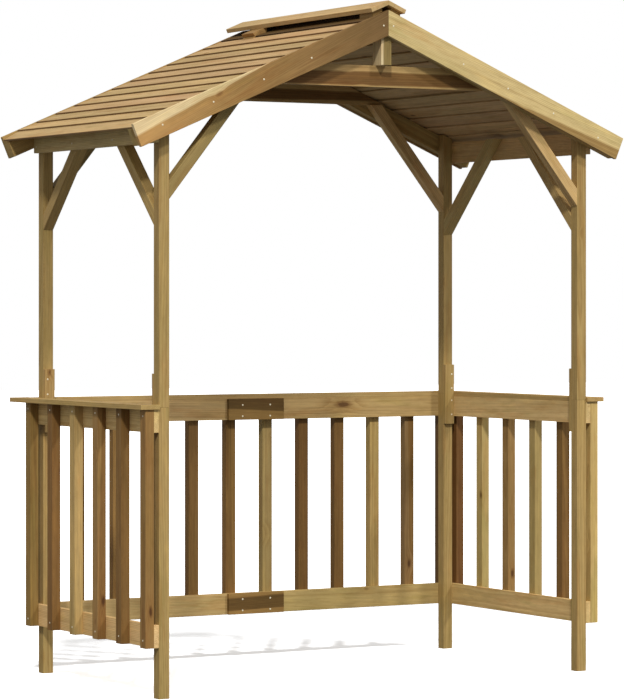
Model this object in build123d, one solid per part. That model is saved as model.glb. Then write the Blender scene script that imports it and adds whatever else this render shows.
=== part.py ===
from build123d import *
import math
import os

# An open garden gazebo in planed softwood: four posts in two lengths, railings
# with a counter board on three sides, knee braces, wall plates, a trussed gable
# at each end and a roof of lapped boards under a raised ridge cap.
# Millimetres, +Z up, front towards -Y, origin on the floor below the middle of
# the whole. Pieces touch face to face where they are nailed together.

# Plan of the frame, measured over the outer faces of the posts
frame_width = 2000.0
frame_depth = 1084.0
post_side = 45.0

# Posts, each in two lengths behind a splice plate
post_joint_height = 1127.0
splice_thickness = 16.0
post_splice_length = 262.0

# Railings outside the posts
rail_thickness = 22.0
rail_height = 90.0
bottom_rail_bottom = 198.0
top_rail_bottom = 1030.0
picket_width = 47.0
picket_thickness = 37.0
side_picket_count = 6
side_picket_inset = 22.5
back_picket_count = 12
back_picket_left_inset = 19.0
back_picket_right_inset = 2.5
counter_thickness = 19.0
counter_overhang = 24.0
side_counter_front = 10.0
side_counter_back = 106.0

# Back rails are two lengths behind a splice plate
back_rail_joint_x = 24.0
rail_joint_gap = 1.5
rail_splice_length = 270.0

# Wall plates outside the posts
plate_thickness = 22.0
plate_height = 90.0
plate_roof_gap = 6.7

# Gables: a rafter with a thinner gable board nailed over it at each slope
roof_pitch = 23.0
gable_apex = 2703.0
eaves_half_width = 1145.0
rafter_thickness = 45.0
rafter_depth = 70.0
gable_board_thickness = 18.0
gable_board_width = 95.0

# Roof boards, each tilted so that its lower edge stands over the board below it
roof_board_cover = 94.7
roof_board_thickness = 15.0
roof_lap = 6.0
roof_board_proud = 1.3
eaves_edge_inset = 8.0
eaves_strip_cover = 75.0
eaves_strip_edge = 7.0

# Ridge cap and the blocks that carry it
cap_gap = 19.4
cap_board_width = 90.0
cap_board_thickness = 18.0
ridge_block_length = 100.0
back_block_setback = 204.0
back_block_inner = 60.0
back_block_outer = 130.0
front_block_inner = 20.0
front_block_outer = 65.0

# Collar ties and king posts
tie_thickness = 22.0
tie_height = 86.0
tie_drop = 306.0
king_width = 48.0

# Knee braces
brace_side = 45.0
eaves_brace_angle = 45.0
eaves_brace_height = 408.0
gable_brace_angle = 51.0
gable_brace_height = 463.0

# Values worked out from the sizes above
half_w = frame_width / 2.0
half_d = frame_depth / 2.0
inner_w = half_w - post_side
inner_d = half_d - post_side
slope = math.radians(roof_pitch)
rise = math.tan(slope)
rafter_face = half_d + rafter_thickness
gable_face = rafter_face + gable_board_thickness
roof_seat_apex = gable_apex - (roof_board_thickness + roof_lap) / math.cos(slope) + roof_board_proud
rafter_under_apex = roof_seat_apex - rafter_depth / math.cos(slope)
cap_under_apex = gable_apex + cap_gap
cap_ridge_height = cap_under_apex + cap_board_thickness / math.cos(slope)
counter_bottom = top_rail_bottom + rail_height
counter_top = counter_bottom + counter_thickness
picket_inner = half_w + rail_thickness
picket_outer = picket_inner + picket_thickness
plate_top = roof_seat_apex - (half_w + plate_thickness) * rise - plate_roof_gap
tie_bottom = gable_apex - tie_drop
tie_top = tie_bottom + tie_height

# The side counters reach further back than the roof: the whole is moved to centre its box
shift_y = (gable_face - half_d - side_counter_back) / 2.0


def box_between(x0, x1, y0, y1, z0, z1):
    """A square-edged length of timber between two opposite corners."""
    return Pos((x0 + x1) / 2, (y0 + y1) / 2, (z0 + z1) / 2) * Box(abs(x1 - x0), abs(y1 - y0), abs(z1 - z0))


def profile_along_y(points, y0, y1):
    """A prism: the XZ outline in points, run from y0 to y1."""
    low, high = min(y0, y1), max(y0, y1)
    face = make_face(Polyline(*[(x, low, z) for x, z in points], close=True))
    return extrude(face, amount=high - low, dir=(0, 1, 0))


def profile_along_x(points, x0, x1):
    """A prism: the YZ outline in points, run from x0 to x1."""
    low, high = min(x0, x1), max(x0, x1)
    face = make_face(Polyline(*[(low, y, z) for y, z in points], close=True))
    return extrude(face, amount=high - low, dir=(1, 0, 0))


def seat_height(x):
    """Height of the plane that the roof boards lie on, at a distance x from the ridge line."""
    return roof_seat_apex - abs(x) * rise


def trimmed_under_roof(shape):
    """The part of a shape that lies below the plane of the roof boards."""
    low = seat_height(eaves_half_width)
    outline = [(-eaves_half_width, 0.0), (-eaves_half_width, low), (0.0, roof_seat_apex),
               (eaves_half_width, low), (eaves_half_width, 0.0)]
    return shape & profile_along_y(outline, -gable_face, gable_face)


# Posts: the lower lengths are square, the upper ones are cut to the slope under the roof boards
def lower_post(sx, sy):
    return box_between(sx * inner_w, sx * half_w, sy * inner_d, sy * half_d, 0.0, post_joint_height)


def upper_post(sx, sy):
    return trimmed_under_roof(box_between(sx * inner_w, sx * half_w, sy * inner_d, sy * half_d,
                                          post_joint_height, roof_seat_apex))


def post_splices():
    low = post_joint_height - post_splice_length / 2
    high = post_joint_height + post_splice_length / 2
    pieces = []
    for sx in (-1, 1):
        for sy in (-1, 1):
            face = sy * inner_d
            pieces.append(box_between(sx * inner_w, sx * half_w, face, face - sy * splice_thickness, low, high))
    return Compound(pieces)


# Side railings
def side_rail(sx, bottom):
    return box_between(sx * half_w, sx * picket_inner, -half_d, half_d, bottom, bottom + rail_height)


def side_pickets(sx):
    first = -half_d + side_picket_inset
    pitch = -2 * first / (side_picket_count - 1)
    pieces = []
    for i in range(side_picket_count):
        y = first + i * pitch
        pieces.append(box_between(sx * picket_inner, sx * picket_outer, y - picket_width / 2, y + picket_width / 2,
                                  bottom_rail_bottom, counter_bottom))
    return Compound(pieces)


def side_counter(sx):
    return box_between(sx * half_w, sx * (picket_outer + counter_overhang),
                       -half_d - side_counter_front, half_d + side_counter_back, counter_bottom, counter_top)


# Back railing
def back_rail(bottom):
    left = box_between(-half_w, back_rail_joint_x - rail_joint_gap / 2,
                       half_d, half_d + rail_thickness, bottom, bottom + rail_height)
    right = box_between(back_rail_joint_x + rail_joint_gap / 2, half_w,
                        half_d, half_d + rail_thickness, bottom, bottom + rail_height)
    return Compound([left, right])


def rail_splices():
    low = back_rail_joint_x - rail_splice_length / 2
    pieces = []
    for bottom in (bottom_rail_bottom, top_rail_bottom):
        pieces.append(box_between(low, low + rail_splice_length, half_d - splice_thickness, half_d,
                                  bottom, bottom + rail_height))
    return Compound(pieces)


def back_pickets():
    inner = half_d + rail_thickness
    first = -half_w + back_picket_left_inset
    pitch = (half_w - back_picket_right_inset - first) / (back_picket_count - 1)
    pieces = []
    for i in range(back_picket_count):
        x = first + i * pitch
        pieces.append(box_between(x - picket_width / 2, x + picket_width / 2, inner, inner + picket_thickness,
                                  bottom_rail_bottom, counter_bottom))
    return Compound(pieces)


def back_counter():
    outer = half_d + rail_thickness + picket_thickness + counter_overhang
    return box_between(-half_w, half_w, half_d, outer, counter_bottom, counter_top)


# Wall plates on the outer faces of the posts, with square tops
def wall_plate(sx):
    return box_between(sx * half_w, sx * (half_w + plate_thickness), -half_d, half_d,
                       plate_top - plate_height, plate_top)


# Knee braces along the eaves: from the inner face of a post up the inner face of the wall plate
def eaves_brace(sx, sy):
    angle = math.radians(eaves_brace_angle)
    depth = brace_side / math.cos(angle)
    start = plate_top - eaves_brace_height
    outline = [
        (sy * inner_d, start),
        (sy * (inner_d - eaves_brace_height / math.tan(angle)), plate_top),
        (sy * (inner_d - (eaves_brace_height - depth) / math.tan(angle)), plate_top),
        (sy * inner_d, start + depth),
    ]
    return profile_along_x(outline, sx * inner_w, sx * half_w)


# Knee braces under the gables: from the inner face of a post up to the underside of the collar tie
def gable_brace(sx, sy):
    angle = math.radians(gable_brace_angle)
    depth = brace_side / math.cos(angle)
    start = tie_bottom - gable_brace_height
    outline = [
        (sx * inner_w, start),
        (sx * (inner_w - gable_brace_height / math.tan(angle)), tie_bottom),
        (sx * (inner_w - (gable_brace_height - depth) / math.tan(angle)), tie_bottom),
        (sx * inner_w, start + depth),
    ]
    return trimmed_under_roof(profile_along_y(outline, sy * inner_d, sy * half_d))


# A length of timber up one slope of a gable: plumb joint at the apex, square cut at the eaves
def sloping_board(sx, top_apex, width, y0, y1):
    tip_drop = gable_apex - top_apex
    top_x = eaves_half_width - tip_drop * math.cos(slope) * math.sin(slope)
    under_x = top_x - width * math.sin(slope)
    under_apex = top_apex - width / math.cos(slope)
    outline = [
        (0.0, top_apex),
        (0.0, under_apex),
        (sx * under_x, under_apex - under_x * rise),
        (sx * top_x, top_apex - top_x * rise),
    ]
    return profile_along_y(outline, y0, y1)


def rafter(sx, sy):
    return sloping_board(sx, roof_seat_apex, rafter_depth, sy * half_d, sy * rafter_face)


def gable_board(sx, sy):
    return sloping_board(sx, gable_apex, gable_board_width, sy * rafter_face, sy * gable_face)


# Collar ties on the inner faces of the rafters, their ends cut under the roof boards
def collar_tie(sy):
    return trimmed_under_roof(box_between(-inner_w, inner_w, sy * half_d, sy * (half_d - tie_thickness),
                                          tie_bottom, tie_top))


# King posts stand on the collar tie and fit between the rafters' undersides
def king_post(sy):
    half = king_width / 2
    shoulder = rafter_under_apex - half * rise
    outline = [(-half, tie_top), (half, tie_top), (half, shoulder), (0.0, rafter_under_apex), (-half, shoulder)]
    return profile_along_y(outline, sy * rafter_face, sy * (half_d - tie_thickness))


# Roof slopes: the outline of the lapped boards across the slope, run from gable board to gable board
def roof_slope(sx):
    edge_x = eaves_half_width - eaves_edge_inset
    length = edge_x / math.cos(slope)

    def at(up, lift):
        """A point at a distance up the slope from the eaves edge and a lift square off the boards' plane."""
        x = edge_x - up * math.cos(slope) + lift * math.sin(slope)
        z = seat_height(edge_x) + up * math.sin(slope) + lift * math.cos(slope)
        return sx * x, z

    edges = [eaves_strip_cover]
    while edges[-1] + roof_board_cover < length:
        edges.append(edges[-1] + roof_board_cover)
    top = [at(0.0, 0.0), at(0.0, eaves_strip_edge), at(edges[0], roof_board_thickness)]
    under = [at(edges[0], 0.0)]
    for low, high in zip(edges, edges[1:]):
        top += [at(low, roof_board_thickness + roof_lap), at(high, roof_board_thickness)]
        under += [at(low, roof_lap), at(high, 0.0)]

    # The last board under the cap is cut plumb at the ridge line
    fall = roof_lap / roof_board_cover
    left_over = length - edges[-1]
    lift = roof_lap - fall * left_over
    top += [at(edges[-1], roof_board_thickness + roof_lap),
            (0.0, seat_height(0.0) + (lift + roof_board_thickness) / math.cos(slope))]
    under += [at(edges[-1], roof_lap), (0.0, seat_height(0.0) + lift / math.cos(slope))]
    return profile_along_y(top + under[::-1], -rafter_face, rafter_face)


# Ridge cap boards: plumb joint at the top, over the whole length of the roof
def ridge_board(sx):
    reach = cap_board_width * math.cos(slope)
    inset = cap_board_thickness * math.sin(slope)
    outline = [
        (0.0, cap_ridge_height),
        (sx * reach, cap_ridge_height - reach * rise),
        (sx * (reach - inset), cap_under_apex - (reach - inset) * rise),
        (0.0, cap_under_apex),
    ]
    return profile_along_y(outline, -gable_face, gable_face)


# Blocks under the ridge cap, their undersides scribed to the lapped boards
def ridge_blocks():
    back_end = rafter_face - back_block_setback
    places = [
        (back_block_inner, back_block_outer, back_end - ridge_block_length),
        (front_block_inner, front_block_outer, -rafter_face),
    ]
    inside_boards = (roof_board_thickness + roof_lap) / 2 / math.cos(slope)
    pieces = []
    for sx in (-1, 1):
        boards = roof_slope(sx)
        for inner, outer, y in places:
            outline = [
                (sx * inner, seat_height(inner) + inside_boards),
                (sx * outer, seat_height(outer) + inside_boards),
                (sx * outer, cap_under_apex - outer * rise),
                (sx * inner, cap_under_apex - inner * rise),
            ]
            block = profile_along_y(outline, y, y + ridge_block_length) - boards
            pieces += block.solids()
    return Compound(pieces)


sides = (("left", -1), ("right", 1))
ends = (("front", -1), ("back", 1))
nodes = {}
for side, sx in sides:
    nodes[f"{side}_bottom_rail"] = side_rail(sx, bottom_rail_bottom)
    nodes[f"{side}_top_rail"] = side_rail(sx, top_rail_bottom)
    nodes[f"{side}_pickets"] = side_pickets(sx)
    nodes[f"{side}_counter"] = side_counter(sx)
    nodes[f"{side}_wall_plate"] = wall_plate(sx)
    nodes[f"{side}_roof_slope"] = roof_slope(sx)
    nodes[f"{side}_ridge_board"] = ridge_board(sx)
    for end, sy in ends:
        nodes[f"{end}_{side}_lower_post"] = lower_post(sx, sy)
        nodes[f"{end}_{side}_upper_post"] = upper_post(sx, sy)
        nodes[f"{end}_{side}_eaves_brace"] = eaves_brace(sx, sy)
        nodes[f"{end}_{side}_gable_brace"] = gable_brace(sx, sy)
        nodes[f"{end}_{side}_rafter"] = rafter(sx, sy)
        nodes[f"{end}_{side}_gable_board"] = gable_board(sx, sy)
for end, sy in ends:
    nodes[f"{end}_collar_tie"] = collar_tie(sy)
    nodes[f"{end}_king_post"] = king_post(sy)
nodes["back_bottom_rail"] = back_rail(bottom_rail_bottom)
nodes["back_top_rail"] = back_rail(top_rail_bottom)
nodes["back_rail_splices"] = rail_splices()
nodes["post_splices"] = post_splices()
nodes["back_pickets"] = back_pickets()
nodes["back_counter"] = back_counter()
nodes["ridge_blocks"] = ridge_blocks()

os.makedirs("parts", exist_ok=True)
for name, shape in nodes.items():
    export_step(Pos(0, shift_y, 0) * shape, f"parts/{name}.step")
print(len(nodes), "nodes written")
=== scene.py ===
# %% [markdown]
# # A garden gazebo of planed softwood
# The solids of the gazebo come in as a fixed frame, in metres, with +Z up and the open front
# towards -Y. This file dresses them: every timber gets eased arrises and wood that runs through it,
# the roof gets its separate boards, and the nails get their heads. The frame's sizes are read,
# never typed again, so each dressed timber lies exactly where its solid does.

# %% Load the frame
import math

import bpy
import numpy as np
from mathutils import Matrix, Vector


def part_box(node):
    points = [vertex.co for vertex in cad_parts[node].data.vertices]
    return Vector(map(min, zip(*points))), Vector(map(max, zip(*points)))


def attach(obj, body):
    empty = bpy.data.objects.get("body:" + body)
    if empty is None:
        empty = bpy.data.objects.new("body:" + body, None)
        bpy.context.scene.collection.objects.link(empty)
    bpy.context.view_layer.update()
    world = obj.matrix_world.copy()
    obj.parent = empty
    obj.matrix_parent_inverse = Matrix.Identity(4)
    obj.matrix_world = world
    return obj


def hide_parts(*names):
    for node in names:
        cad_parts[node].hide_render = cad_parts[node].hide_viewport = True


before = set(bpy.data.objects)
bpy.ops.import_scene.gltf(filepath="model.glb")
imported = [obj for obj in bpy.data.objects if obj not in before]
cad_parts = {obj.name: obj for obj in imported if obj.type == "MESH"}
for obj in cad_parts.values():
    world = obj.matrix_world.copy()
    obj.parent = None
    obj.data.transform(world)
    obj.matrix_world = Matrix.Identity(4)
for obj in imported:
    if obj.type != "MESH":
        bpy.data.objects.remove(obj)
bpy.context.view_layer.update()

# %% [markdown]
# ## Camera and light
# The picture was taken with a long lens from the front left, level, a little above the counter.
# A level camera keeps the posts upright in the picture, so the frame is shifted down instead of
# the camera being tilted. Two lamps stand in front, one to each side at the same height. The left
# one is the stronger, which is why the faces towards the left are brighter than those to the right.

# %% Camera
frame_width_px = 624
frame_height_px = 700
camera_place = (-6.9217, -11.9984, 1.5391)
camera_turn = 0.524
focal_px = 3330.5
horizon_px = 301.1
middle_px = 312.9
sensor_size = 36.0
far_clip = 100.0

camera_data = bpy.data.cameras.new("camera")
camera_data.sensor_width = sensor_size
camera_data.lens = sensor_size * focal_px / frame_height_px
camera_data.shift_x = (frame_width_px / 2 - middle_px) / frame_height_px
camera_data.shift_y = (horizon_px - frame_height_px / 2) / frame_height_px
camera_data.clip_end = far_clip
camera = bpy.data.objects.new("camera", camera_data)
camera.location = camera_place
camera.rotation_euler = (math.pi / 2, 0.0, -camera_turn)
bpy.context.scene.collection.objects.link(camera)
bpy.context.scene.camera = camera
bpy.context.scene.view_settings.view_transform = "Standard"
print("lens", round(camera_data.lens, 1), "mm")

# %% Lamps
lamp_width_deg = 5.0
lamp_side, lamp_front, lamp_height = 0.398, 0.637, 0.661
left_strength = 1.78
right_strength = 1.03


def sun(name, strength, direction):
    """A sun whose own Z axis points at the direction the light comes from: tipped by the angle from
    straight up, then turned about Z by atan2(x, -y)."""
    data = bpy.data.lights.new(name, "SUN")
    data.energy = strength
    data.angle = math.radians(lamp_width_deg)
    lamp = bpy.data.objects.new(name, data)
    lamp.rotation_euler = (math.acos(direction[2]), 0.0, math.atan2(direction[0], -direction[1]))
    bpy.context.scene.collection.objects.link(lamp)


sun("left_lamp", left_strength, (-lamp_side, -lamp_front, lamp_height))
sun("right_lamp", right_strength, (lamp_side, -lamp_front, lamp_height))
print("lamps", round(math.degrees(math.asin(lamp_height))), "degrees high")

# %% [markdown]
# ## Writing shader maths as Python
# A shader is a net of nodes, and long sums are hard to read as nodes. The class `Num` wraps one
# number socket, so that `1 - mask * 0.3` adds the Math nodes by itself. Any other node comes from
# `Net.add`, which sets the node's own settings first and then its sockets.


# %% Number sockets that take part in sums
class Num:
    """A number socket of a shader net. Each operator adds one Math node and wraps its output."""

    def __init__(self, net, socket):
        self.net = net
        self.socket = socket

    def math(self, operation, *others):
        """The Math node `operation` with this number first and the others after it."""
        node = self.net.add("Math", {"operation": operation}, dict(enumerate((self, *others))))
        return Num(self.net, node.outputs[0])

    def __add__(self, other):
        return self.math("ADD", other)

    def __radd__(self, other):
        return self.math("ADD", other)

    def __mul__(self, other):
        return self.math("MULTIPLY", other)

    def __rmul__(self, other):
        return self.math("MULTIPLY", other)

    def __sub__(self, other):
        return self.math("SUBTRACT", other)

    def __rsub__(self, other):
        return (self * -1.0) + other

    def rise(self, low, high):
        """0 below low, 1 above high, and a smooth S curve between them."""
        node = self.net.add("MapRange", {"interpolation_type": "SMOOTHSTEP"},
                            {"Value": self, "From Min": low, "From Max": high})
        return Num(self.net, node.outputs["Result"])

    def fall(self, low, high):
        """1 below low, 0 above high, and a smooth S curve between them."""
        return 1 - self.rise(low, high)


print("number sockets take + - * and rise, fall or any Math operation")


# %% Nets of nodes
class Net:
    """The node net of one material, or of the world."""

    def __init__(self, tree):
        self.tree = tree
        tree.nodes.clear()

    def add(self, kind, settings=None, sockets=None):
        """A node of that kind: its settings are set first, then its sockets get values or links."""
        node = self.tree.nodes.new("ShaderNode" + kind)
        for name, value in (settings or {}).items():
            setattr(node, name, value)
        for key, value in (sockets or {}).items():
            if isinstance(value, Num):
                value = value.socket
            if isinstance(value, bpy.types.NodeSocket):
                self.tree.links.new(value, node.inputs[key])
            else:
                node.inputs[key].default_value = value
        return node

    def num(self, node, output=0):
        """One output of a node as a number for sums."""
        return Num(self, node.outputs[output])

    def mark(self, name):
        """The node of an attribute that the vertices carry."""
        return self.add("Attribute", {"attribute_name": name})

    def scaled(self, vector, factors):
        """A vector with each of its three numbers multiplied."""
        return self.add("VectorMath", {"operation": "MULTIPLY"}, {0: vector, 1: factors}).outputs[0]

    def length(self, vector):
        """The length of a vector."""
        return self.num(self.add("VectorMath", {"operation": "LENGTH"}, {0: vector}), "Value")

    def noise(self, vector, scale, detail=3.0, roughness=0.5):
        """Noise from 0 to 1 about 0.5 on a vector."""
        node = self.add("TexNoise", {"normalize": True},
                        {"Vector": vector, "Scale": scale, "Detail": detail, "Roughness": roughness})
        return self.num(node, "Fac")

    def mix(self, share, first, second, blend="MIX"):
        """Two colours mixed by a share, or blended in another way."""
        node = self.add("Mix", {"data_type": "RGBA", "blend_type": blend}, {0: share, 6: first, 7: second})
        return node.outputs[2]

    def tinted(self, colour, tint):
        """A colour with its red, green and blue multiplied by those of the tint."""
        return self.mix(1.0, colour, (*tint, 1.0), "MULTIPLY")

    def layered(self, colour, layers):
        """A colour with tints laid over it one after another, each by its own share."""
        for share, tint in layers:
            colour = self.mix(share, colour, self.tinted(colour, tint))
        return colour


def srgb(red, green, blue):
    """A colour written as it looks on a screen, 0 to 255, as the linear colour that shaders use: a
    share up to 0.04045 is divided by 12.92, a larger one is ((share + 0.055) / 1.055) to the 2.4."""
    share = np.array([red, green, blue]) / 255.0
    linear = np.where(share <= 0.04045, share / 12.92, ((share + 0.055) / 1.055) ** 2.4)
    return (*linear, 1.0)


print("net of nodes ready; mid grey is", round(srgb(128, 128, 128)[0], 3))

# %% [markdown]
# ## Sky and floor
# The background is plain white for the camera, but the object is lit by a sky at half strength.
# The floor is white to the camera, with the soft shadow of the posts on it, and dark to the light
# that bounces off it, as open ground would be: it keeps the underside of the roof in the dark.

# %% World
sky_strength = 0.50
world = bpy.data.worlds.new("sky")
bpy.context.scene.world = world
world.use_nodes = True
net = Net(world.node_tree)
path = net.add("LightPath")
white_rays = net.num(path, "Is Camera Ray").math("MAXIMUM", net.num(path, "Is Transmission Ray"))
strength = white_rays * (1.0 - sky_strength) + sky_strength
background = net.add("Background", sockets={"Color": (1.0, 1.0, 1.0, 1.0), "Strength": strength})
net.add("OutputWorld", sockets={"Surface": background.outputs[0]})
print("sky strength", sky_strength)

# %% Floor
floor_half = 40.0
floor_bounce = (0.17, 0.18, 0.20, 1.0)
floor_seen = (1.80, 1.80, 1.80, 1.0)
floor_mesh = bpy.data.meshes.new("floor")
floor_corners = [(-floor_half, -floor_half, 0), (floor_half, -floor_half, 0),
                 (floor_half, floor_half, 0), (-floor_half, floor_half, 0)]
floor_mesh.from_pydata(floor_corners, [], [(0, 1, 2, 3)])
floor = bpy.data.objects.new("floor", floor_mesh)
bpy.context.scene.collection.objects.link(floor)
floor_material = bpy.data.materials.new("floor")
floor_material.use_nodes = True
net = Net(floor_material.node_tree)
seen = net.num(net.add("LightPath"), "Is Camera Ray")
diffuse = net.add("BsdfDiffuse", sockets={"Color": net.mix(seen, floor_bounce, floor_seen)})
net.add("OutputMaterial", sockets={"Surface": diffuse.outputs[0]})
floor_mesh.materials.append(floor_material)
print("floor", 2 * floor_half, "m wide")

# %% [markdown]
# ## Wood that runs through the timber
# A plank is cut from a trunk, so its pattern is not painted on: the rings of the trunk cross the
# faces as long lines and show as arcs on the end. The material therefore works in the timber's own
# space. Each vertex carries its place relative to the heart line of the trunk, in metres: along the
# grain, and two distances across it. Rings are the distance from that line, bent a little by
# noise and pushed aside by knots. The heart is browner than the outer wood, with an uneven border.
# The noises are stretched along the grain, from broad clouds of tone down to single fibres.

# %% Knots
cell_along = 2.6
cell_across = 13.0


def grain_noise(net, place, along, across, scale=1.0, detail=3.0, roughness=0.5):
    """Noise whose spots are 1 / along metres long and 1 / across metres wide."""
    return net.noise(net.scaled(place, (along, across, across)), scale, detail, roughness)


def knot_distance(net, place, own_knot):
    """The distance from the nearest knot, in metres. The points of a cell pattern stretched along the
    grain stand for branches. A little under half of them are knots, and the distance from each is
    divided by its own random size. A knot given by its place is longer along the grain and has a
    ragged edge. The lesser of the two distances counts."""
    cell_space = net.scaled(place, (cell_along, cell_across, cell_across))
    cells = net.add("TexVoronoi", {"feature": "F1"}, {"Vector": cell_space, "Scale": 1.0})
    off = net.add("VectorMath", {"operation": "SUBTRACT"}, {0: cell_space, 1: cells.outputs["Position"]})
    metres = net.scaled(off.outputs[0], (0.50 / cell_along, 1.0 / cell_across, 1.0 / cell_across))
    chance = net.add("SeparateColor", sockets={0: cells.outputs["Color"]})
    no_knot = net.num(chance, "Red").fall(0.53, 0.55)
    size = net.num(chance, "Green") * 0.7 + 0.45
    uneven = (grain_noise(net, place, 70.0, 90.0) - 0.5) * 0.004
    branch = (net.length(metres) + uneven).math("DIVIDE", size) + no_knot
    ragged = (grain_noise(net, place, 30.0, 160.0) - 0.5) * 0.010
    by_hand = net.length(net.scaled(own_knot, (0.24, 0.62, 0.62))) + ragged
    return branch.math("MINIMUM", by_hand)


print("branches about", round(1 / cell_along, 2), "m apart along the grain")

# %% Rings
late_from, late_full, late_end = 0.10, 0.90, 0.93


def ring_marks(net, place, bulge, ring_width):
    """The distance from the heart line, and the dark late wood from 0 to 1. The distance is the
    length of the place across the grain, with a slow sway, a quick shiver and the bulge round a knot
    added. Divided by the ring width it counts the years. The fraction of a year rises slowly, as
    pale early wood, and drops at once, as dark late wood, more in some years than in others."""
    sway = grain_noise(net, place, 0.9, 7.0, detail=2.0) - 0.5
    shiver = grain_noise(net, place, 7.0, 30.0, detail=2.0) - 0.5
    radius = net.length(net.scaled(place, (0.0, 1.0, 1.0))) + sway * 0.022 + shiver * 0.0022 + bulge
    years = radius * (1.0 / ring_width)
    thick = net.noise(net.add("CombineXYZ", sockets={0: years}).outputs[0], 0.45, detail=1.0)
    fraction = (years + thick * 0.8).math("FRACT")
    late = fraction.rise(late_from, late_full) * fraction.fall(late_end, 1.0) * (thick * 1.2 + 0.4)
    return radius, late


print("late wood is darkest from", late_full, "to", late_end, "of a year")


# %% The wood material
def wood(name, ring_width, ring_depth, fibre_depth, shine):
    """Outer wood with a browner heart, then one layer of tint after another: broad clouds, streaks,
    late wood, fibres, stains, blushes, the fine figure and the rims of knots, each a noise cut off by
    a smooth step and taken at a share. The wood inside a knot, the end cuts, the painted highlight on
    the arrises and the painted shade line along the lower edge of a roof board come last. Fibres and
    late wood also give the bump."""
    material = bpy.data.materials.new(name)
    material.use_nodes = True
    net = Net(material.node_tree)
    place = net.mark("grain").outputs["Vector"]
    outer = net.mark("outer").outputs["Color"]
    inner = net.mark("inner").outputs["Color"]
    heart_radius = net.num(net.mark("heart"), "Fac")
    cut = net.num(net.mark("cut"), "Fac")
    edge = net.num(net.mark("edge"), "Fac")
    lap = net.num(net.mark("lap"), "Fac")
    far = knot_distance(net, place, net.mark("own_knot").outputs["Vector"])
    knot = far.fall(0.0045, 0.0075)
    radius, late = ring_marks(net, place, far.fall(0.004, 0.034) * 0.008, ring_width)

    cloud = grain_noise(net, place, 1.5, 8.0)
    streak = grain_noise(net, place, 0.8, 46.0, roughness=0.65)
    fibre = grain_noise(net, place, 3.0, 230.0, detail=2.0, roughness=0.6)
    stain = grain_noise(net, place, 2.8, 17.0, scale=1.3, detail=4.0, roughness=0.6)
    blush = grain_noise(net, place, 3.6, 24.0, scale=0.8, detail=4.0, roughness=0.65)
    figure = grain_noise(net, place, 15.0, 75.0, detail=4.0, roughness=0.6)
    dust = grain_noise(net, place, 26.0, 26.0, detail=4.0, roughness=0.7)

    heart = (radius + (streak - 0.5) * 0.012 - heart_radius).fall(-0.004, 0.004)
    colour = net.layered(net.mix(heart, outer, inner), (
        (cloud.rise(0.42, 0.66) * 0.50, (0.84, 0.88, 0.78)),
        (cloud.fall(0.34, 0.50) * 0.45, (1.12, 1.10, 1.08)),
        (streak.rise(0.52, 0.70) * 0.60, (0.74, 0.67, 0.58)),
        (streak.fall(0.30, 0.46) * 0.50, (1.24, 1.22, 1.16)),
        (late * ring_depth * (1 - cut * 0.3), (0.62, 0.52, 0.42)),
        (fibre.rise(0.45, 0.75) * 0.35, (0.80, 0.75, 0.68)),
        (fibre.fall(0.30, 0.48) * 0.22, (1.16, 1.15, 1.12)),
        (stain.rise(0.54, 0.68) * 0.45, (0.76, 0.80, 0.66)),
        (blush.rise(0.52, 0.66) * 0.50, (0.92, 0.76, 0.62)),
        (blush.fall(0.34, 0.46) * 0.40, (1.22, 1.20, 1.08)),
        (figure.rise(0.50, 0.66) * 0.45, (0.82, 0.78, 0.72)),
        (figure.fall(0.36, 0.48) * 0.40, (1.16, 1.15, 1.12)),
        (far.fall(0.012, 0.040) * 0.30, (0.84, 0.70, 0.52)),
        (far.fall(0.0075, 0.0135) * 0.60, (0.46, 0.34, 0.24)),
    ))
    colour = net.mix(knot * 0.75, colour, net.tinted(outer, (0.20, 0.12, 0.09)))
    colour = net.layered(colour, (
        (cut * 0.60, (0.98, 1.01, 1.05)),
        # Painted highlight: the rounded arrises are made paler, as if catching the light.
        (edge * 0.35, (1.22, 1.20, 1.16)),
        # Painted shade: a dark line along the lower edge of each roof board, where it steps over the board
        # below.
        (lap.fall(0.0005, 0.0055) * 0.80, (0.26, 0.19, 0.13)),
    ))

    roughness = 0.72 - shine * (1 - late * 0.4) + dust * 0.12 + cut * 0.12 - knot * 0.12
    height = fibre * fibre_depth - late * 0.20 + dust * 0.15 - knot * 0.3 + cut * fibre * 0.4
    bump = net.add("Bump", sockets={"Strength": 0.55, "Distance": 0.0008, "Height": height})
    shader = net.add("BsdfPrincipled", sockets={
        "Base Color": colour, "Roughness": roughness, "Normal": bump.outputs[0],
        "IOR": 1.45, "Specular IOR Level": 0.30})
    net.add("OutputMaterial", sockets={"Surface": shader.outputs[0]})
    return material


planed = wood("planed_softwood", ring_width=0.0062, ring_depth=0.42, fibre_depth=0.5, shine=0.14)
sawn = wood("sawn_roof_boards", ring_width=0.0080, ring_depth=0.34, fibre_depth=0.9, shine=0.04)
print("wood materials:", planed.name, sawn.name)

# %% [markdown]
# ## Timbers from their solids
# A length of timber is a profile carried along a straight path: the rounded outline of its section,
# from one end cut to the other. The corners come from the frame. A solid of a node is found by
# joining its triangles where they share a corner, and its section and end cuts follow from its
# corner points, so one function dresses posts, rails, braces with slanted ends and rafters alike.

# %% Solids of a node
hair = 1e-4


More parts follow.
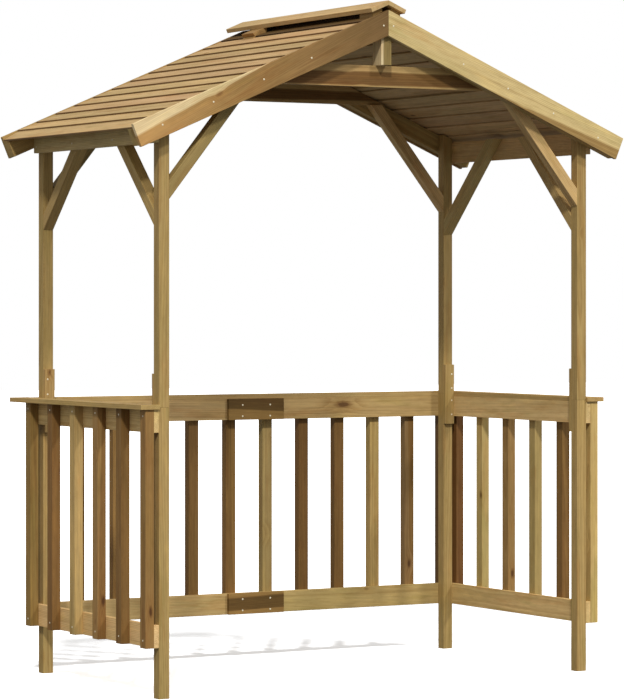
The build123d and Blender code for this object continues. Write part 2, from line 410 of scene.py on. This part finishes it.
def solids_of(node):
    """The corner points of each solid of a node, in order along X, then Y, then Z. Triangles that
    share a corner get the lowest of their labels, again and again, until no label changes."""
    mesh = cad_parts[node].data
    points = np.empty(len(mesh.vertices) * 3, np.float32)
    mesh.vertices.foreach_get("co", points)
    corners, which = np.unique(np.round(points.reshape(-1, 3).astype(float), 5), axis=0, return_inverse=True)
    loops = np.empty(len(mesh.loops), np.int32)
    mesh.loops.foreach_get("vertex_index", loops)
    triangles = which.reshape(-1)[loops].reshape(-1, 3)
    label = np.arange(len(corners))
    while True:
        before = label.copy()
        lowest = label[triangles].min(axis=1)
        np.minimum.at(label, triangles.reshape(-1), np.repeat(lowest, 3))
        if (before == label).all():
            break
    solids = [corners[label == value] for value in np.unique(label)]
    return sorted(solids, key=lambda solid: tuple(np.round(solid.mean(axis=0), 3)))


print("solids of left_pickets:", len(solids_of("left_pickets")))

# %% Directions
AXIS_X = np.array([1.0, 0.0, 0.0])
AXIS_Y = np.array([0.0, 1.0, 0.0])
AXIS_Z = np.array([0.0, 0.0, 1.0])


def unit(vector):
    """The vector at length 1."""
    return vector / np.linalg.norm(vector)


def brace_axis(points):
    """From the lowest corner to the corner of the top cut that lies furthest to the side."""
    low = points[points[:, 2].argmin()]
    top = points[points[:, 2] > points[:, 2].max() - hair]
    thin = np.ptp(points, axis=0).argmin()
    reach = top - low
    reach[:, thin] = 0.0
    return unit(reach[np.linalg.norm(reach, axis=1).argmax()])


def slope_axis(points):
    """From the highest corner to the outermost one: both lie on the upper edge of a sloping board."""
    run = points[np.abs(points[:, 0]).argmax()] - points[points[:, 2].argmax()]
    run[1] = 0.0
    return unit(run)


def cross_axes(along):
    """Two directions square to the given one and to each other. The first never points down."""
    side = AXIS_Y if abs(along[1]) < 0.9 else AXIS_X
    first = unit(np.cross(side, along))
    first = -first if first[2] < -0.1 else first
    return first, np.cross(along, first)


print("a gable brace runs along", np.round(brace_axis(solids_of("front_left_gable_brace")[0]), 3))

# %% [markdown]
# ## The rounded profile
# Real planed timber has arrises eased by a millimetre or two, and they catch the light. The corner
# is rounded in the section by a short curve, and at the ends by three rings that shrink as they
# near the cut. The rings and the curve are whole arrays, with no loop over the vertices.


# %% Meshes from arrays
def closed_tube(rings, around):
    """The faces of a tube made of rings of vertices: a quad between neighbours on two rings, and one
    face over each end. Returns the vertex numbers of all faces in a row, and each face's size."""
    row = np.arange(around)
    column = np.arange(rings - 1)[:, None] * around
    quads = np.stack([column + row, column + np.roll(row, -1),
                      column + around + np.roll(row, -1), column + around + row], axis=-1)
    corners = np.concatenate([quads.reshape(-1), row[::-1], row + around * (rings - 1)])
    sizes = np.concatenate([np.full(quads.size // 4, 4), [around, around]])
    return corners, sizes


def mesh_of(name, vertices, corners, sizes):
    """A mesh from its vertices, the vertex numbers of all faces in a row, and each face's size. A
    face starts where the sizes before it end."""
    mesh = bpy.data.meshes.new(name)
    mesh.vertices.add(len(vertices))
    mesh.vertices.foreach_set("co", vertices.astype(np.float32).ravel())
    mesh.loops.add(len(corners))
    mesh.loops.foreach_set("vertex_index", corners.astype(np.int32))
    mesh.polygons.add(len(sizes))
    mesh.polygons.foreach_set("loop_start", (np.cumsum(sizes) - sizes).astype(np.int32))
    mesh.update(calc_edges=True)
    return mesh


print("a tube of 3 rings of 12 has", len(closed_tube(3, 12)[1]), "faces")

# %% Profile along a path
CURVE_STEPS = 4
END_TURNS = np.radians([90.0, 45.0, 0.0])
PLANED_ARRIS = 0.0014
BLOCK_ARRIS = 0.0010
SAWN_ARRIS = 0.0012


def rounded_ring(outline, shrink, radius):
    """The outline moved inwards by shrink, each corner replaced by a quadratic curve of that radius.
    With p and n the unit directions to the neighbours, the corner moves by shrink (p + n) / sin."""
    to_last = np.roll(outline, 1, axis=0) - outline
    to_next = np.roll(outline, -1, axis=0) - outline
    to_last /= np.linalg.norm(to_last, axis=1)[:, None]
    to_next /= np.linalg.norm(to_next, axis=1)[:, None]
    sine = to_next[:, 0] * to_last[:, 1] - to_next[:, 1] * to_last[:, 0]
    corner = outline + (to_last + to_next) * (shrink / sine)[:, None]
    t = np.linspace(0.0, 1.0, CURVE_STEPS)[None, :, None]
    start = (corner + to_last * radius)[:, None]
    stop = (corner + to_next * radius)[:, None]
    curve = (1 - t) ** 2 * start + 2 * t * (1 - t) * corner[:, None] + t ** 2 * stop
    return curve.reshape(-1, 2)


def profile_solid(points, along, arris):
    """A closed prism with eased arrises from the corner points of a solid. Corners that coincide when
    seen along the path are one long edge. Each end cut is the plane through the ends of those edges.
    Near an end, a ring at the turn a is shrunk by arris (1 - cos a) and lies arris (1 - sin a) inside
    the cut. Also returns a mark for the end cuts and one for the rounded edges."""
    first, second = cross_axes(along)
    flat = np.stack([points @ first, points @ second], axis=1)
    distance = points @ along
    seen, which = np.unique(np.round(flat, 4), axis=0, return_inverse=True)
    low = np.full(len(seen), np.inf)
    high = np.full(len(seen), -np.inf)
    np.minimum.at(low, which.reshape(-1), distance)
    np.maximum.at(high, which.reshape(-1), distance)
    centre = seen.mean(axis=0)
    outline = seen[np.argsort(np.arctan2(*(seen - centre).T[::-1]))]
    plane = np.column_stack([np.ones(len(seen)), seen])
    low_cut = np.linalg.lstsq(plane, low, rcond=None)[0]
    high_cut = np.linalg.lstsq(plane, high, rcond=None)[0]

    rings = []
    for cut, inwards, turns in ((low_cut, 1.0, END_TURNS), (high_cut, -1.0, END_TURNS[::-1])):
        for turn in turns:
            ring = rounded_ring(outline, arris * (1 - math.cos(turn)), arris)
            reach = cut[0] + ring @ cut[1:] + inwards * (arris * (1 - math.sin(turn)))
            rings.append(ring[:, :1] * first + ring[:, 1:] * second + reach[:, None] * along)
    around = len(rings[0])
    corners, sizes = closed_tube(len(rings), around)
    end = np.zeros((len(rings), around))
    end[[0, -1]] = 1.0
    step = np.arange(around) % CURVE_STEPS
    on_curve = (step > 0) & (step < CURVE_STEPS - 1)
    edge = np.tile(on_curve.astype(float), len(rings))
    return np.concatenate(rings), corners, sizes, end.reshape(-1), edge


sample = profile_solid(solids_of("front_left_lower_post")[0], AXIS_Z, PLANED_ARRIS)
print("a post:", len(sample[0]), "vertices,", len(sample[2]), "faces")

# %% [markdown]
# ## Tones of the wood
# The timbers were cut from many trunks, so their colours differ: honey and straw in the frame,
# russet, umber and olive among the pickets. Each timber gets one tone for its outer wood and one
# for its heart, with a small random change, and a heart line placed at random beside it, so that
# no two timbers show the same grain.

# %% Tones
TONES = {
    "honey": srgb(183, 154, 96),
    "hay": srgb(204, 178, 114),
    "straw": srgb(223, 200, 138),
    "cream": srgb(238, 217, 164),
    "biscuit": srgb(228, 192, 132),
    "oat": srgb(212, 178, 122),
    "sand": srgb(194, 164, 106),
    "olive": srgb(152, 130, 76),
    "moss": srgb(166, 144, 90),
    "tan": srgb(200, 168, 118),
    "chestnut": srgb(172, 142, 86),
    "bran": srgb(168, 133, 79),
    "russet": srgb(153, 119, 66),
    "cocoa": srgb(142, 106, 57),
    "umber": srgb(128, 94, 48),
    "bark": srgb(104, 78, 37),
    "rust": srgb(130, 91, 48),
    "mauve": srgb(141, 110, 70),
}
HEART_SHADE = np.array([0.74, 0.66, 0.55, 1.0])
print("tones:", ", ".join(TONES))

# %% Chances of one timber
randoms = np.random.default_rng(11)
heart_radii = [0.0, 0.0, 0.02, 0.04]


def chances():
    """What differs from timber to timber, always drawn in the same order: the place of the heart
    line across the grain, the heart's radius and lean, the change of tone, and the place along the
    trunk where the timber starts."""
    turn, away = randoms.uniform(0, 2 * math.pi), randoms.uniform(0.02, 0.09)
    radius, lean = randoms.choice(heart_radii), randoms.uniform(-0.03, 0.03)
    shade = randoms.uniform(0.93, 1.07) * randoms.uniform(0.97, 1.03, 4)
    start = randoms.uniform(-20, 20)
    return (away * math.cos(turn), away * math.sin(turn)), radius, lean, shade, start


print("heart radii to draw from, in metres:", heart_radii)

# %% [markdown]
# ## One piece, many timbers
# A node such as the pickets holds several timbers, and they stay one piece of the model, as they
# are in the frame. So the meshes of its timbers are put in a row and written as one. The marks that
# the wood material reads go on the vertices: the place in the trunk, the two tones, the heart's
# radius, the end cuts, the rounded edges that get a painted highlight, the distance from a roof
# board's lower edge, which gets a painted shade line, and the distance from a knot.

# %% A piece made of timbers
MARKS = {
    "grain": ("FLOAT_VECTOR", "vector"),
    "outer": ("FLOAT_COLOR", "color"),
    "inner": ("FLOAT_COLOR", "color"),
    "heart": ("FLOAT", "value"),
    "cut": ("FLOAT", "value"),
    "edge": ("FLOAT", "value"),
    "lap": ("FLOAT", "value"),
    "own_knot": ("FLOAT_VECTOR", "vector"),
}
# A place so far off that its knot never shows
NO_KNOT = (AXIS_Z * 9.0, 1.0)


def finished(name, mesh, material, *nodes, slot=None):
    """The object of a mesh: smooth, with normals weighted by face size so that the flats stay flat.
    It stands for its nodes and rides on the frame."""
    mesh.materials.append(material)
    mesh.shade_smooth()
    piece = bpy.data.objects.new(name, mesh)
    bpy.context.scene.collection.objects.link(piece)
    piece.modifiers.new("even_normals", "WEIGHTED_NORMAL")
    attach(piece, "root")
    if nodes:
        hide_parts(*nodes)


class Timber:
    """Gathers the timbers of one piece and writes them as one mesh."""

    def __init__(self, name):
        self.name = name
        self.vertices, self.corners, self.sizes = [], [], []
        self.marks = {mark: [] for mark in MARKS}
        self.count = 0

    def add(self, solid, grain_axis, tones, heart_line=None, heart_radius=None, tilt=None, fade=0.0,
            lap=None, knot=None, steady=False):
        """One timber: its mesh, its tones, and its heart line as a place across the grain. The line
        leans by tilt metres a metre, so the border of the heart crosses the face at a slant. The
        heart is darker at the start of the timber and paler at its end by the share fade. A knot is
        given as a place and a size. Steady timbers keep their tone without a random change."""
        vertices, corners, sizes, end, edge = solid
        count = len(vertices)
        random_line, random_radius, random_lean, random_shade, start = chances()
        line = random_line if heart_line is None else heart_line
        radius = random_radius if heart_radius is None else heart_radius
        lean = random_lean if tilt is None else tilt
        shade = np.ones(4) if steady else random_shade

        first, second = cross_axes(grain_axis)
        space = np.column_stack([vertices @ grain_axis, vertices @ first, vertices @ second])
        middle = (space.min(axis=0) + space.max(axis=0)) / 2
        along = space[:, 0] - middle[0]
        above = space[:, 1] - middle[1] - line[0] - lean * along
        beside = space[:, 2] - middle[2] - line[1]
        knot_place, knot_size = NO_KNOT if knot is None else knot
        to_knot = (space - np.stack([grain_axis, first, second]) @ knot_place) / knot_size

        outer, inner = (tones, None) if isinstance(tones, str) else tones
        outer_colour = np.array(TONES[outer]) * shade
        inner_colour = outer_colour * HEART_SHADE if inner is None else np.array(TONES[inner]) * shade
        paler = 1 + fade * along / along.max()
        marks = {
            "grain": np.column_stack([along + start, above, beside]),
            "outer": np.tile(outer_colour, (count, 1)),
            "inner": inner_colour * paler[:, None],
            "heart": np.full(count, radius),
            "cut": end,
            "edge": edge,
            "lap": np.ones(count) if lap is None else lap(vertices),
            "own_knot": to_knot,
        }
        for mark, values in marks.items():
            self.marks[mark].append(values)
        self.vertices.append(vertices)
        self.corners.append(corners + self.count)
        self.sizes.append(sizes)
        self.count += count

    def build(self, material, *nodes, slot=None):
        """The joined mesh with its marks, as a finished piece."""
        mesh = mesh_of(self.name, *map(np.concatenate, (self.vertices, self.corners, self.sizes)))
        for mark, values in self.marks.items():
            kind, field = MARKS[mark]
            attribute = mesh.attributes.new(mark, kind, "POINT")
            attribute.data.foreach_set(field, np.concatenate(values).astype(np.float32).ravel())
        finished(self.name, mesh, material, *nodes, slot=slot)


print("marks on each vertex:", ", ".join(MARKS))

# %% [markdown]
# ## Dressing the frame
# Each call below names a node, its tones and the direction of its long edges. A
# node with several solids takes its tones in order, from left to right or from front to back. The
# posts are the calmest pieces on the real gazebo, so they keep one steady tone and show no heart.


# %% Posts, braces and rafters
def dress(node, slot, tones, along, grain_axis=None, arris=PLANED_ARRIS, **heart):
    """The dressed piece of one node: its solids in order along X and Y, each as a profile solid. A
    list among the other values gives each solid its own."""
    piece = Timber(node + "_dressed")
    for number, points in enumerate(solids_of(node)):
        direction = along(points) if callable(along) else along
        grain = direction if grain_axis is None else grain_axis
        own = {key: value[number % len(value)] if isinstance(value, list) else value
               for key, value in heart.items()}
        piece.add(profile_solid(points, direction, arris), grain, tones[number % len(tones)], **own)
    piece.build(planed, node, slot=slot)


sides = (("left", -1), ("right", 1))
ends = (("front", -1), ("back", 1))
eaves_brace_tones = {"left": "honey", "right": "sand"}
gable_brace_tones = {"left": "moss", "right": "oat"}
for end, _ in ends:
    for side, _ in sides:
        corner = f"{end}_{side}"
        dress(f"{corner}_lower_post", "posts", ["honey"], AXIS_Z, heart_radius=0.0, steady=True)
        dress(f"{corner}_upper_post", "posts", ["honey"], AXIS_Z, heart_radius=0.0, steady=True)
        dress(f"{corner}_eaves_brace", "braces", [eaves_brace_tones[side]], brace_axis, heart_radius=0.0)
        dress(f"{corner}_gable_brace", "braces", [gable_brace_tones[side]], brace_axis, heart_radius=0.0)
        dress(f"{corner}_rafter", "rafters", ["honey"], slope_axis)
print("posts, braces and rafters dressed")

# %% [markdown]
# ## Rails, counters and plates
# The rails are the palest boards, with clean outer wood, and the counters lie on them in a deeper
# tone. One large dark knot sits in the back top rail, right of its joint, where the eye finds it at
# once, so its place is given instead of drawn by chance.

# %% Rails, counters and plates
plate_tones = {"left": "straw", "right": "oat"}
rail_knot_x, rail_knot_z = 0.465, 1.088
for side, _ in sides:
    dress(f"{side}_bottom_rail", "rails", ["biscuit"], AXIS_Y, heart_radius=0.0)
    dress(f"{side}_top_rail", "rails", ["biscuit"], AXIS_Y, heart_radius=0.0)
    dress(f"{side}_counter", "counters", ["honey"], AXIS_Y, heart_radius=0.0)
    dress(f"{side}_wall_plate", "plates", [plate_tones[side]], AXIS_Y, heart_radius=0.0)
rail_knot = np.array([rail_knot_x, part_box("back_top_rail")[0][1], rail_knot_z])
dress("back_bottom_rail", "rails", ["oat", "sand"], AXIS_X, heart_radius=0.0)
dress("back_top_rail", "rails", ["oat", "sand"], AXIS_X, heart_radius=0.0, knot=[None, (rail_knot, 1.0)])
dress("back_counter", "counters", ["sand"], AXIS_X)
dress("post_splices", "splices", ["honey"], AXIS_Z, heart_radius=0.0)
print("rails, counters and plates dressed; large knot at", np.round(rail_knot, 3))

# %% [markdown]
# ## Two-toned timbers
# Where a board is cut near the heart, the brown heart shows as a band with an uneven border, and
# the pale outer wood shows beside it. Each of these has its heart line given one by one: a distance
# above the middle of the board, a radius, and a lean that makes the band narrow towards one end.
# On the king posts the heart covers the front face and the outer wood the left face, so their two tones are
# also painted shade and painted light.

# %% Ties, king posts and rail splices
for end, _ in ends:
    dress(f"{end}_collar_tie", "ties", [("sand", "umber")], AXIS_X,
          heart_line=(-0.010, 0.0), heart_radius=0.026, tilt=0.004)
    # Olive heart on the front face is painted shade for the gable boards' shadow; cream on the left face is
    # painted light.
    dress(f"{end}_king_post", "ties", [("cream", "olive")], AXIS_Y, grain_axis=AXIS_Z,
          heart_line=(0.020, -0.045), heart_radius=0.034, tilt=0.0)
dress("back_rail_splices", "splices", [("russet", "bark")], AXIS_X,
      heart_line=[(0.002, 0.0), (0.036, 0.0)], heart_radius=[0.028, 0.040], tilt=[0.03, -0.06])
print("ties and splices dressed")

# %% Gable boards and ridge boards
gable_hearts = {
    "front_left": ("cream", "bran", (-0.032, 0.0), 0.080, -0.080, 0.50),
    "front_right": ("straw", "chestnut", (-0.122, 0.0), 0.080, 0.060, 0.0),
    "back_left": ("chestnut", "bran", (-0.060, 0.0), 0.080, -0.100, 0.1),
    "back_right": ("straw", "bran", (-0.090, 0.0), 0.060, 0.030, 0.0),
}
for place, (outer, inner, line, radius, lean, fade) in gable_hearts.items():
    dress(f"{place}_gable_board", "gable_boards", [(outer, inner)], slope_axis,
          heart_line=line, heart_radius=radius, tilt=lean, fade=fade)
for side, _ in sides:
    dress(f"{side}_ridge_board", "ridge_boards", ["tan"], AXIS_Y, heart_radius=0.0)
dress("ridge_blocks", "ridge_boards", ["bran"], AXIS_Y, arris=BLOCK_ARRIS)
print("gable and ridge boards dressed:", len(gable_hearts) + len(sides))

# %% [markdown]
# ## Pickets
# The pickets are cut from offcuts of any tone, pale ones beside brown ones, and that mixture gives
# the railing its look. Each gets its tones one by one, in order from left to right, or from front to
# back at the sides. A few small knots low on their front faces are given one by one as well.

# %% Pickets
picket_tones = {
    "left": [
        ("russet", "cocoa"), ("cocoa", "umber"), ("bran", "cocoa"),
        ("sand", "moss"), ("cocoa", "umber"), ("russet", "olive"),
    ],
    "right": [
        "hay", ("cocoa", "umber"), ("sand", "chestnut"),
        ("bran", "umber"), "hay", ("rust", "bark"),
    ],
    "back": [
        ("bran", "olive"), "umber", ("russet", "umber"),
        "umber", ("cocoa", "olive"), ("cocoa", "umber"),
        ("moss", "olive"), ("umber", "bark"), ("umber", "rust"),
        "honey", ("mauve", "umber"), "bark",
    ],
}
picket_knots = {
    "left": {0: (0.6, 0.340), 2: (0.7, 0.350)},
    "right": {3: (0.6, 0.360)},
    "back": {10: (0.5, 0.380)},
}
small_knot = 0.55


def front_knot(solid, across, height):
    """A small knot on the front face of a picket, at a share of its width and at a height."""
    low, high = solid.min(axis=0), solid.max(axis=0)
    return np.array([low[0] + across * (high[0] - low[0]), low[1], height]), small_knot


for place, tones in picket_tones.items():
    pickets = solids_of(f"{place}_pickets")
    knots = [None] * len(pickets)
    for number, (across, height) in picket_knots[place].items():
        knots[number] = front_knot(pickets[number], across, height)
    dress(f"{place}_pickets", "pickets", tones, AXIS_Z, knot=knots)
print("pickets dressed:", sum(len(tones) for tones in picket_tones.values()))

# %% [markdown]
# ## Roof boards
# The slope is one solid in the frame. Its outline across the slope tells where the boards meet: at
# each joint it has two corners for the upper edge of the lower board and two for the lower edge of
# the upper board. The boards are rebuilt from those corners, one timber each, with rough sawn faces
# and a painted shade line along the lower edge, where each board steps over the one below. The two
# uppermost boards get a dark tone as painted shade, for the dark under the cap.

# %% Roof boards
# How many of the uppermost boards get a dark tone as painted shade under the cap.
boards_in_painted_shade = 2


def roof_boards(side):
    """Boards of one slope. The front outline is sorted by the distance up the slope, then by the
    lift off the rafters: two corners at the eaves, then four at each joint, and two at the ridge."""
    points = solids_of(f"{side}_roof_slope")[0]
    down = slope_axis(solids_of(f"front_{side}_rafter")[0])
    lift_axis = np.array([-down[2], 0.0, abs(down[0])]) * np.array([np.sign(down[0]), 1.0, 1.0])
    front = points[np.abs(points[:, 1] - points[:, 1].min()) < hair]
    ridge = front[np.abs(front[:, 0]) < hair]
    ridge = ridge[ridge[:, 2].argsort()]
    body = front[np.abs(front[:, 0]) >= hair]
    eaves = body[body[:, 2].argmin()]
    body = body[((body - eaves) @ -down).argsort()]
    body[:2] = body[:2][(body[:2] @ lift_axis).argsort()]
    joints = body[2:].reshape(-1, 4, 3)
    joints = np.take_along_axis(joints, (joints @ lift_axis).argsort(axis=1)[:, :, None], axis=1)
    low = np.concatenate([body[None, :2], joints[:, [1, 3]]])
    high = np.concatenate([joints[:, [0, 2]], ridge[None]])
    section = np.concatenate([low, high], axis=1)
    depth = AXIS_Y * np.ptp(points[:, 1])
    return np.concatenate([section, section + depth], axis=1), down


for side, _ in sides:
    boards, down = roof_boards(side)
    slope_piece = Timber(f"{side}_roof_boards")
    for number, board in enumerate(boards):
        lower_edge = (board @ down).max()
        # The uppermost boards take a dark bark tone: painted shade, for the dark under the cap.
        tones = ("bark", "bark") if number >= len(boards) - boards_in_painted_shade else ("tan", "bran")
        slope_piece.add(profile_solid(board, AXIS_Y, SAWN_ARRIS), AXIS_Y, tones,
                        lap=lambda vertices, edge=lower_edge: edge - vertices @ down)
    slope_piece.build(sawn, f"{side}_roof_slope", slot="roof_boards")
print("roof boards in each slope:", len(boards))

# %% [markdown]
# ## Nails
# Every joint is nailed. The heads are round, a little domed and zinc plated with a warm tarnish,
# and they stand about half a millimetre proud. One head is a small profile turned about its axis;
# all heads of a group are placed at once, by adding each place to the vertices of one head.

# %% Nail material
nail_metal = bpy.data.materials.new("tarnished_zinc")
nail_metal.use_nodes = True
net = Net(nail_metal.node_tree)
own_place = net.add("TexCoord").outputs["Object"]
speckle = net.noise(own_place, 900.0)
patch = net.noise(own_place, 160.0)
colour = net.mix(patch.rise(0.35, 0.65), (0.95, 0.86, 0.62, 1.0), (0.84, 0.74, 0.52, 1.0))
colour = net.mix(speckle.rise(0.60, 0.75) * 0.4, colour, (0.42, 0.32, 0.20, 1.0))
bump = net.add("Bump", sockets={"Strength": 0.3, "Distance": 0.0002, "Height": speckle})
shader = net.add("BsdfPrincipled", sockets={"Base Color": colour, "Metallic": 0.15,
                                            "Roughness": speckle * 0.2 + 0.36, "Normal": bump.outputs[0]})
net.add("OutputMaterial", sockets={"Surface": shader.outputs[0]})
print("nail material:", nail_metal.name)

# %% Nail heads
head_sides = 12
head_radii = np.array([0.0038, 0.0038, 0.0026])
head_heights = np.array([-0.0006, 0.0002, 0.0006])
nail_counts = {}


def nail_heads(name, places, outward):
    """Heads 7.6 mm across. The profile has rings at radius r and height h, the top closed by its
    inner ring. Each head stands on its place, with its axis along the outward direction."""
    axis = np.array(outward, float)
    angle = np.arange(head_sides) * 2 * math.pi / head_sides
    first, second = cross_axes(axis)
    outline = np.cos(angle)[:, None] * first + np.sin(angle)[:, None] * second
    head = head_radii[:, None, None] * outline + head_heights[:, None, None] * axis
    head = head.reshape(-1, 3)
    corners, sizes = closed_tube(len(head_radii), head_sides)
    count = len(places)
    vertices = (places[:, None] + head).reshape(-1, 3)
    all_corners = (corners + np.arange(count)[:, None] * len(head)).reshape(-1)
    finished(name, mesh_of(name, vertices, all_corners, np.tile(sizes, count)), nail_metal)
    nail_counts[name] = count


def grid(xs, ys, zs):
    """Every place that takes one value from each list."""
    return np.stack(np.meshgrid(xs, ys, zs, indexing="ij"), axis=-1).reshape(-1, 3)


print("a nail head is", 2000 * head_radii.max(), "mm across")

# %% Nails of the pickets
nail_below_top = 0.025
nail_above_bottom = 0.030
for side, sign in sides:
    rail_low, rail_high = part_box(f"{side}_bottom_rail"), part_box(f"{side}_top_rail")
    heights = [rail_low[0][2] + nail_above_bottom, rail_high[1][2] - nail_below_top]
    outer_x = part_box(f"{side}_pickets")[0 if sign < 0 else 1][0]
    middles = [solid[:, 1].mean() for solid in solids_of(f"{side}_pickets")]
    nail_heads(f"{side}_picket_nails", grid([outer_x], middles, heights), (sign, 0, 0))
back_low, back_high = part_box("back_bottom_rail"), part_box("back_top_rail")
back_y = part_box("back_pickets")[1][1]
middles = [solid[:, 0].mean() for solid in solids_of("back_pickets")]
heights = [back_low[0][2] + nail_above_bottom, back_high[1][2] - nail_below_top]
nail_heads("back_picket_nails", grid(middles, [back_y], heights), (0, 1, 0))
print("nails so far:", sum(nail_counts.values()))

# %% Nails of the splices
rail_splice_reach = 0.0677
rail_splice_below_top = 0.026
rail_splice_above_bottom = 0.016
post_splice_from_edge = 0.0124
post_splice_heights = np.array([-0.089, -0.027, 0.027, 0.089])
places = []
for solid in solids_of("back_rail_splices"):
    low, high = solid.min(axis=0), solid.max(axis=0)
    middle = (low + high) / 2
    places.append(grid([middle[0] - rail_splice_reach, middle[0] + rail_splice_reach], [low[1]],
                       [high[2] - rail_splice_below_top, low[2] + rail_splice_above_bottom]))
nail_heads("rail_splice_nails", np.concatenate(places), (0, -1, 0))
for end, end_sign in ends:
    places = []
    for solid in solids_of("post_splices"):
        if np.sign(solid[:, 1].mean()) == end_sign:
            low, high = solid.min(axis=0), solid.max(axis=0)
            middle = (low + high) / 2
            face = low[1] if end_sign > 0 else high[1]
            column = high[0] - post_splice_from_edge if middle[0] > 0 else low[0] + post_splice_from_edge
            places.append(grid([column], [face], middle[2] + post_splice_heights))
    nail_heads(f"{end}_post_splice_nails", np.concatenate(places), (0, -end_sign, 0))
print("nails so far:", sum(nail_counts.values()))

# %% Nails of the wall plates and gable boards
plate_nail_end = 0.022
plate_nail_inner = 0.36
plate_nail_below_top = 0.064
gable_nail_steps = np.array([0.046, 0.407, 0.641, 0.884, 1.126])
gable_nail_below_edge = 0.050
for side, sign in sides:
    low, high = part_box(f"{side}_wall_plate")
    face = low[0] if sign < 0 else high[0]
    along_plate = [low[1] + plate_nail_end, low[1] + plate_nail_inner,
                   high[1] - plate_nail_inner, high[1] - plate_nail_end]
    nail_heads(f"{side}_wall_plate_nails", grid([face], along_plate, [high[2] - plate_nail_below_top]),
               (sign, 0, 0))
for end, end_sign in ends:
    places = []
    for side, _ in sides:
        points = solids_of(f"{end}_{side}_gable_board")[0]
        down = slope_axis(points)
        square = cross_axes(down)[0]
        apex = points[points[:, 2].argmax()].copy()
        apex[1] = points[:, 1].min() if end_sign < 0 else points[:, 1].max()
        places.append(apex + gable_nail_steps[:, None] * down - gable_nail_below_edge * square)
    nail_heads(f"{end}_gable_nails", np.concatenate(places), (0, end_sign, 0))
print("nails in all:", sum(nail_counts.values()))
